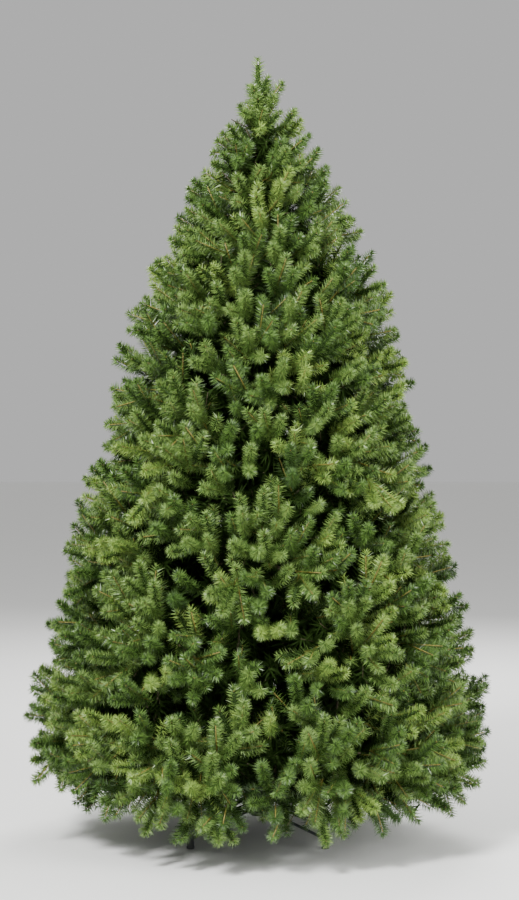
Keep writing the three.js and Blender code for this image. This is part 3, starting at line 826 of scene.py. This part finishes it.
# %% Stems in the fingers, and the roots of their needles
STEM_SHARES, THIN_RADII, THIN_SIDES = np.array([0.0, 0.92]), np.array([2.6, 1.6]), 3
ROOT_SHARES, ROOT_RADII, ROOT_SIDES = np.array([0.22, 0.45, 0.9]), np.array([3.5, 9.0, 5.5]), 5
stems, needle_roots = [], []
for which in range(len(fingers)):
    stem_path = finger_points(np.full(len(STEM_SHARES), which), STEM_SHARES)
    stems.append(bar(stem_path, THIN_RADII, THIN_SIDES))
    if not open_fingers[which]:
        root_path = finger_points(np.full(len(ROOT_SHARES), which), ROOT_SHARES)
        needle_roots.append(bar(root_path, ROOT_RADII, ROOT_SIDES))
make_piece("finger_stems", *joined(stems), stem_material, "wrapped_wire", FOLIAGE_NODES, smooth=True)
make_piece("needle_roots", *joined(needle_roots), shaded_root_material, "foliage", FOLIAGE_NODES, smooth=True)

# %% Twigs from their forks to their sprays
TWIG_SAG, TWIG_END, TWIG_POINTS, TWIG_SIDES = 0.05, 0.12, 5, 4
TWIG_RADII = np.linspace(4.0, 3.0, TWIG_POINTS)
twig_paths = []
for mass in masses:
    for spray in mass["sprays"][1:]:  # the first sits on the end of the limb itself
        shares = np.linspace(0, 1, TWIG_POINTS)[:, None]
        end = on_spray(spray, TWIG_END, 0)
        path = spray["fork"] + (end - spray["fork"]) * shares
        sag = TWIG_SAG * np.linalg.norm(end - spray["fork"])
        twig_paths.append(path - UP * sag * 4 * shares * (1 - shares) * (1 - shares))
twigs = [bar(path, TWIG_RADII, TWIG_SIDES) for path in twig_paths]
make_piece("twigs", *joined(twigs), twig_material, "wrapped_wire", FOLIAGE_NODES, smooth=True)

# %% [markdown]
# ## Tape on the limbs
#
# The tape is wound on at a steady pitch, each turn over the edge of the last, so the limb has a low
# saw-toothed spiral. It casts real shadows near the pole, so it is in the mesh: the radius of each corner
# follows the turn it lies on.

# %% Wrapped boughs and stems
WRAP_PITCH, WRAP_RISE = 9.0, 0.7
BOUGH_RING, BOUGH_SIDES, BOUGH_IN_COLLAR = 2.25, 14, 2
STEM_RING, STEM_SIDES, STEM_IN_COLLAR, STEM_END = 4.5, 7, 8, 0.85


def limb_radius(limb, distance):
    """A limb's radius at a distance from its foot, its tape included."""
    reach = limb_reaches[limb] - SPRAY_LENGTH
    return LIMB_RADIUS + (STEM_RADIUS - LIMB_RADIUS) * distance / reach


def wrapped(limb, start, end, ring_step, sides):
    """A stretch of a limb with its spiral of tape."""
    distances = np.linspace(start, end, max(2, int((end - start) / ring_step)))
    path = limb_feet[limb] + limb_ways[limb] * distances[:, None]
    turns = (distances[:, None] / WRAP_PITCH - np.arange(sides)[None] / sides) % 1.0
    radii = limb_radius(limb, distances)[:, None] - WRAP_RISE * turns
    return bar(path, radii, sides)


boughs, limb_stems = [], []
for limb, bare in enumerate(limb_bares):
    stem_end = limb_reaches[limb] - SPRAY_LENGTH * STEM_END
    if bare:
        boughs.append(wrapped(limb, COLLAR_RADIUS - BOUGH_IN_COLLAR, bare, BOUGH_RING, BOUGH_SIDES))
    begin = bare if bare else (0 if limb == LEADER else COLLAR_RADIUS - STEM_IN_COLLAR)
    limb_stems.append(wrapped(limb, begin, stem_end, STEM_RING, STEM_SIDES))
bough_nodes = [f"bough_{name}" for name, bare in zip(limb_names, limb_bares) if bare]
make_piece("boughs", *joined(boughs), tape_material, "wrapped_wire", bough_nodes, smooth=True)
make_piece("limb_stems", *joined(limb_stems), tape_material, "wrapped_wire", FOLIAGE_NODES, smooth=True)

# %% [markdown]
# ## Inner growth
#
# Where the moulded tips don't show, the limbs and twigs carry flat needles cut from film and twisted into
# the wire. They fill the crown and hide the pole. They are the same blades as before, longer and fewer,
# and wider deep inside, where only their shade is seen. Their dark green is painted shade, standing for
# the shadow deep in the crown. None is kept near the crown's surface or its underside.

# %% Short inner twigs where the inside is empty
INNER_CANDIDATES, INNER_GAP, INNER_SLANT = 9000, 42, 0.5
INNER_MARGIN, INNER_START, FILLED_STEP = 12, 30, 30
INSIDE_Z, INSIDE_HEIGHT, INSIDE_POWER = 130, TREE_HEIGHT - 300, 1.25
INSIDE_REACH, INSIDE_REACH_SPREAD = 0.08, 0.76
HEIGHT_STEP, REACH_STEP = 0.7548777, 0.5698403  # their multiples, less whole turns, never bunch


def points_between(start, end):
    """Points at even steps along a line."""
    count = max(2, int(np.linalg.norm(end - start) / FILLED_STEP))
    return start + (end - start) * np.linspace(0, 1, count)[:, None]


def inside_point(number):
    """One of many points spread evenly through the inner part of the crown."""
    z = INSIDE_Z + INSIDE_HEIGHT * (number * HEIGHT_STEP % 1.0) ** INSIDE_POWER
    reach = crown_reach(z) * (INSIDE_REACH + INSIDE_REACH_SPREAD * math.sqrt(number * REACH_STEP % 1.0))
    return point_at(math.radians(number * GOLDEN_ANGLE), reach, z)


filled = [points_between(path[0], path[-1]) for path in twig_paths] + [(roots + ends) / 2, ends]
filled += [
    points_between(foot + way * max(bare, COLLAR_RADIUS), foot + way * reach)
    for foot, way, bare, reach in zip(limb_feet, limb_ways, limb_bares, limb_reaches)
]
filled = np.vstack(filled)
inner_twigs = []
for number in range(INNER_CANDIDATES):
    tip = inside_point(number)
    if np.linalg.norm(filled - tip, axis=1).min() < INNER_GAP:
        continue
    limb = int(limb_distances(tip[None])[0].argmin())
    foot, way = limb_feet[limb], limb_ways[limb]
    first = max(limb_bares[limb] + INNER_MARGIN, INNER_START)
    line = (foot, way, first, limb_reaches[limb])
    start = foot + way * max((tip - foot) @ way - away_from(line, tip) * INNER_SLANT, first)
    inner_twigs.append((start, tip))
    filled = np.vstack([filled, points_between(start, tip)])
print("inner twigs:", len(inner_twigs))
inner_bars = [bar(inner_twig, THIN_RADII, THIN_SIDES) for inner_twig in inner_twigs]
make_piece("inner_twigs", *joined(inner_bars), twig_material, "wrapped_wire", FOLIAGE_NODES, smooth=True)

# %% Film needles on limbs and twigs
FILM_LENGTH, FILM_DEPTH, FILM_LOWEST_Z = 50, 55, 140
FILM_DEPTHS, FILM_WIDTHS = (60, 260), (5, 13)  # how wide they are at these depths
FILM_MARGIN, FILM_START, FILM_END = 15, 30, 0.8
LIMB_FILM, TWIG_FILM, INNER_FILM = 1.1, 0.5, 0.55  # needles to the millimetre
FILM_SHARE, FILM_RISE = 0.95, 0.35  # the higher up, the denser
FILM_LEANS, FILM_LOW, FILM_SPREAD = (45, 80), 0.7, 0.5
film_lines = []
for foot, way, bare, reach in zip(limb_feet, limb_ways, limb_bares, limb_reaches):
    start = foot + way * max(bare + FILM_MARGIN, FILM_START)
    film_lines.append((start, foot + way * (reach - SPRAY_LENGTH * FILM_END), LIMB_FILM))
film_lines += [(path[0], path[-1], TWIG_FILM) for path in twig_paths]
film_lines += [(start, tip, INNER_FILM) for start, tip in inner_twigs]
film_starts, film_axes = [], []
for line_start, line_end, density in film_lines:
    length = np.linalg.norm(line_end - line_start)
    upward = FILM_SHARE + FILM_RISE * line_end[2] / TREE_HEIGHT
    shares = numbers.random(int(length * density * upward))[:, None]
    film_starts.append(line_start + (line_end - line_start) * shares)
    film_axes.append(np.broadcast_to((line_end - line_start) / length, (len(shares), 3)))
film_starts, film_axes = np.vstack(film_starts), np.vstack(film_axes)
film_lean = np.radians(numbers.uniform(*FILM_LEANS, len(film_starts)))[:, None]
film_across = across_of(film_axes, numbers.random(len(film_starts)))
film_ways = film_axes * np.cos(film_lean) + film_across * np.sin(film_lean)
film_lengths = FILM_LENGTH * (FILM_LOW + FILM_SPREAD * numbers.random(len(film_starts)))
film_tips = film_starts + film_ways * film_lengths[:, None]
film_depths = np.array([depth_below(tip) for tip in film_tips])
film_widths = np.interp(film_depths, FILM_DEPTHS, FILM_WIDTHS)[:, None]
hidden = (film_depths > FILM_DEPTH) & (film_tips[:, 2] > FILM_LOWEST_Z)
film = blades(film_starts, film_ways, film_lengths, film_widths, numbers.random(len(film_starts)))[hidden]
make_blades("film_needles", film, shaded_film_material)

# %% [markdown]
# ## Pole
#
# Three lengths of tube push into each other, each slimmer than the one below, and a collar under every
# whorl holds the limbs. All of it is round about one axis, so it is turned from a profile, like work on a
# lathe. A bevel takes the sharpness off, as the coat does on the real one.

# %% Turned pieces
POLE_SECTIONS = [(900, 16), (1580, 14), (POLE_TOP_Z, 11)]
COLLAR_HEIGHT, CHAMFER, POLE_FOOT = 22, 4, 63.3
GROOVE_EDGE, GROOVE_FLOOR, GROOVE_DEPTH = 3, 2, 1.5
POLE_SIDES, POLE_BEVEL, BEVEL_SEGMENTS, BEVEL_ANGLE = 40, 0.5, 2, 40


def turned(profile, sides, at=(0.0, 0.0)):
    """A profile of (radius, height) turned about an upright axis. It starts and ends on the axis."""
    angles = 2 * math.pi * np.arange(sides) / sides
    rings = [
        [(at[0] + radius * math.cos(angle), at[1] + radius * math.sin(angle), z) for angle in angles]
        for radius, z in profile[1:-1]
    ]
    ends = [(at[0], at[1], profile[0][1]), (at[0], at[1], profile[-1][1])]
    return skinned(np.array(rings), *ends)


def bevelled(piece, width_mm):
    """Rounds a piece's edges."""
    bevel = piece.modifiers.new("soft edges", "BEVEL")
    bevel.width = width_mm * MM
    bevel.segments = BEVEL_SEGMENTS
    bevel.limit_method = "ANGLE"
    bevel.angle_limit = math.radians(BEVEL_ANGLE)


def tube_radius(z):
    """The pole's radius at a height."""
    return next(radius for top, radius in POLE_SECTIONS if z <= top)


# %% Turn the pole
steps = []
for number, (top, radius) in enumerate(POLE_SECTIONS):
    after = POLE_SECTIONS[number + 1][1] if number + 1 < len(POLE_SECTIONS) else 0
    steps += [(top, radius)] + ([(top, after)] if after else [])
for height, *_ in WHORLS:
    half, radius = COLLAR_HEIGHT / 2, tube_radius(height)
    steps += [(height - half - CHAMFER, radius), (height - half, COLLAR_RADIUS)]
    steps += [(height - GROOVE_EDGE, COLLAR_RADIUS), (height - GROOVE_FLOOR, COLLAR_RADIUS - GROOVE_DEPTH)]
    steps += [(height + GROOVE_FLOOR, COLLAR_RADIUS - GROOVE_DEPTH), (height + GROOVE_EDGE, COLLAR_RADIUS)]
    steps += [(height + half, COLLAR_RADIUS), (height + half + CHAMFER, radius)]
steps.sort(key=lambda step: (step[0], -step[1]))
pole_profile = [(0, POLE_FOOT), (POLE_SECTIONS[0][1], POLE_FOOT)]
pole_profile += [(radius, height) for height, radius in steps] + [(0, POLE_TOP_Z)]
pole_mesh = turned(pole_profile, POLE_SIDES)
pole = make_piece("pole_tubes", *pole_mesh, pole_material, "pole_paint", ["pole"], smooth=True)
bevelled(pole, POLE_BEVEL)

# %% [markdown]
# ## Stand
#
# A cup with two flanges takes the pole, and a thumbscrew clamps it. Four legs, each one rod bent into a
# flat loop, hinge on pins between the flanges and end in rubber boots. The rods are bars with arcs for
# bends, and the rest is turned.

# %% Hub with its thumbscrew
CUP_BOTTOM, CUP_TOP, CUP_RADIUS, CUP_FLOOR = 58, 196, 21, 5
FLANGE_RADIUS, FLANGE_THICKNESS, FLANGES = 37, 4, (68, 122)
CUP_INSIDE = POLE_SECTIONS[0][1] + 1.5 * CLEARANCE  # the pole stands in it with a little play
SCREW_Z, SCREW_IN, SCREW_OUT, SCREW_RINGS = (FLANGES[1] + CUP_TOP) / 2 + 8, 2, 30, 24
THREAD_ROOT, THREAD_RISE, SCREW_SIDES = 3.6, 0.4, 14
WING_OUT, WING_HALF, WING_RINGS, WING_SIDES = 31, 13, 15, 12
WING_WAIST, WING_SWELL, WING_POWER, WING_ROUND = 2.2, 3.6, 1.5, 1.12
HUB_SIDES, HUB_BEVEL = 48, 0.6
hub_profile = [(0, CUP_BOTTOM), (CUP_RADIUS, CUP_BOTTOM)]
for flange in FLANGES:
    hub_profile += [(CUP_RADIUS, flange), (FLANGE_RADIUS, flange)]
    hub_profile += [(FLANGE_RADIUS, flange + FLANGE_THICKNESS), (CUP_RADIUS, flange + FLANGE_THICKNESS)]
hub_profile += [(CUP_RADIUS, CUP_TOP), (CUP_INSIDE, CUP_TOP), (CUP_INSIDE, CUP_BOTTOM + CUP_FLOOR)]
hub_profile += [(0, CUP_BOTTOM + CUP_FLOOR)]
screw_places = np.linspace(CUP_RADIUS - SCREW_IN, CUP_RADIUS + SCREW_OUT, SCREW_RINGS)
screw_path = np.array([[0, -y, SCREW_Z] for y in screw_places])
thread = THREAD_ROOT + THREAD_RISE * (np.arange(SCREW_RINGS) % 2)
wing_places = np.linspace(-WING_HALF, WING_HALF, WING_RINGS)
wing_path = np.array([[x, -CUP_RADIUS - WING_OUT, SCREW_Z] for x in wing_places])
across_wing = np.linspace(-1, 1, WING_RINGS)
wing_swell = WING_SWELL * np.abs(across_wing) ** WING_POWER
wing_radii = WING_WAIST + wing_swell * np.sqrt(WING_ROUND - across_wing**2)
screw = [bar(screw_path, thread, SCREW_SIDES), bar(wing_path, wing_radii, WING_SIDES)]
hub_mesh = joined([turned(hub_profile, HUB_SIDES), *screw])
hub = make_piece("stand_cup", *hub_mesh, stand_material, "stand_paint", ["stand_hub"], smooth=True)
bevelled(hub, HUB_BEVEL)

# %% Legs and feet
LEG_TURNS, PIN_REACH, FOOT_REACH = (45, 135, 225, 315), 30, 265
ROD_RADIUS, ROD_SIDES, BEND_RADIUS, BEND_POINTS = 4, 16, 11, 6
LOWER_ROD_Z, UPPER_ROD_Z = 26, 62
GRIP_RINGS, FOOT_SIDES = 9, 32
FOOT_PROFILE = [(0, 0), (10.4, 0), (11, 0.8), (11, 6), (9.6, 8)]  # radius and height
FOOT_PROFILE += [(9.6 - 0.3 * (i // 2) + 0.5 * (i % 2), 12 + 6 * i) for i in range(GRIP_RINGS)]
FOOT_PROFILE += [(8.6, 68), (7.6, 70.6), (6, 72), (0, 72)]


def rounded(corner_points, radius):
    """A path with an arc in place of each inner corner."""
    path = [corner_points[0]]
    for before, corner, after in zip(corner_points, corner_points[1:], corner_points[2:]):
        back, on = unit(before - corner), unit(after - corner)
        for share in np.linspace(0, 1, BEND_POINTS):
            coming, going = corner + back * radius * (1 - share), corner + on * radius * share
            path.append(coming * (1 - share) + going * share)
    return np.array([*path, corner_points[-1]])


low = FLANGES[0] + FLANGE_THICKNESS + CLEARANCE + ROD_RADIUS
high = FLANGES[1] - CLEARANCE - ROD_RADIUS
for number, angle in enumerate(LEG_TURNS, start=1):
    out = aimed(angle, 0)
    loop = [
        out * FOOT_REACH + UP * LOWER_ROD_Z,
        out * PIN_REACH + UP * low,
        out * PIN_REACH + UP * high,
        out * FOOT_REACH + UP * UPPER_ROD_Z,
    ]
    leg = bar(rounded(loop, BEND_RADIUS), ROD_RADIUS, ROD_SIDES, helper=np.cross(UP, out))
    make_piece(f"leg_{number}", *leg, stand_material, "stand_paint", [f"stand_leg_{number}"], smooth=True)
    boot = turned(FOOT_PROFILE, FOOT_SIDES, at=out[:2] * FOOT_REACH)
    make_piece(
        f"foot_{number}", *boot, rubber_material, "foot_rubber", [f"stand_foot_{number}"], smooth=True
    )

# %% [markdown]
# ## Floor and light
#
# A plain pale floor runs to the horizon, and the sky is pale too, so the tree stands in an even, bright
# room. A soft lamp in front and above shows the sprays, a wider one fills from the other side, and a
# third behind lights the edges. The first is the smallest and strongest, so that single needles still
# cast a shadow.

# %% Build the studio
FLOOR_HALF = 60.0
FLOOR_SIGNS = ((-1, -1), (1, -1), (1, 1), (-1, 1))
LAMP_TARGET = np.array([0.0, 0.0, 1.0])
ROOM_COLOUR, ROOM_STRENGTH = (0.9, 0.9, 0.9, 1), 0.6
floor_mesh = bpy.data.meshes.new("floor")
floor_corners = [(x * FLOOR_HALF, y * FLOOR_HALF, 0.0) for x, y in FLOOR_SIGNS]
floor_mesh.from_pydata(floor_corners, [], [(0, 1, 2, 3)])
floor_material = mottled(
    "rolled_matt_floor_paint", "#f6f6f3", "#f9f9f6", 400, 0.02, Roughness=0.75, IOR=1.5
)
floor_mesh.materials.append(floor_material)
floor = bpy.data.objects.new("floor", floor_mesh)
bpy.context.scene.collection.objects.link(floor)

LAMPS = [  # name, place, size in metres, watts
    ("key_lamp", (-2.2, -4.4, 4.8), 1.3, 730),
    ("fill_lamp", (3.6, -3.4, 2.4), 2.6, 230),
    ("back_lamp", (1.2, 4.4, 4.2), 2.4, 330),
]
for name, place, size, watts in LAMPS:
    lamp_data = bpy.data.lights.new(name, "AREA")
    lamp_data.energy, lamp_data.size = watts, size
    lamp = bpy.data.objects.new(name, lamp_data)
    lamp.location = place
    towards = LAMP_TARGET - np.array(place)
    lamp.rotation_euler = (
        math.atan2(math.hypot(towards[0], towards[1]), -towards[2]),
        0,
        math.atan2(towards[1], towards[0]) - math.pi / 2,
    )
    bpy.context.scene.collection.objects.link(lamp)

world = bpy.data.worlds.new("pale_room")
world.use_nodes = True
world.node_tree.nodes["Background"].inputs["Color"].default_value = ROOM_COLOUR
world.node_tree.nodes["Background"].inputs["Strength"].default_value = ROOM_STRENGTH
bpy.context.scene.world = world
print("studio: floor and", len(LAMPS), "lamps")
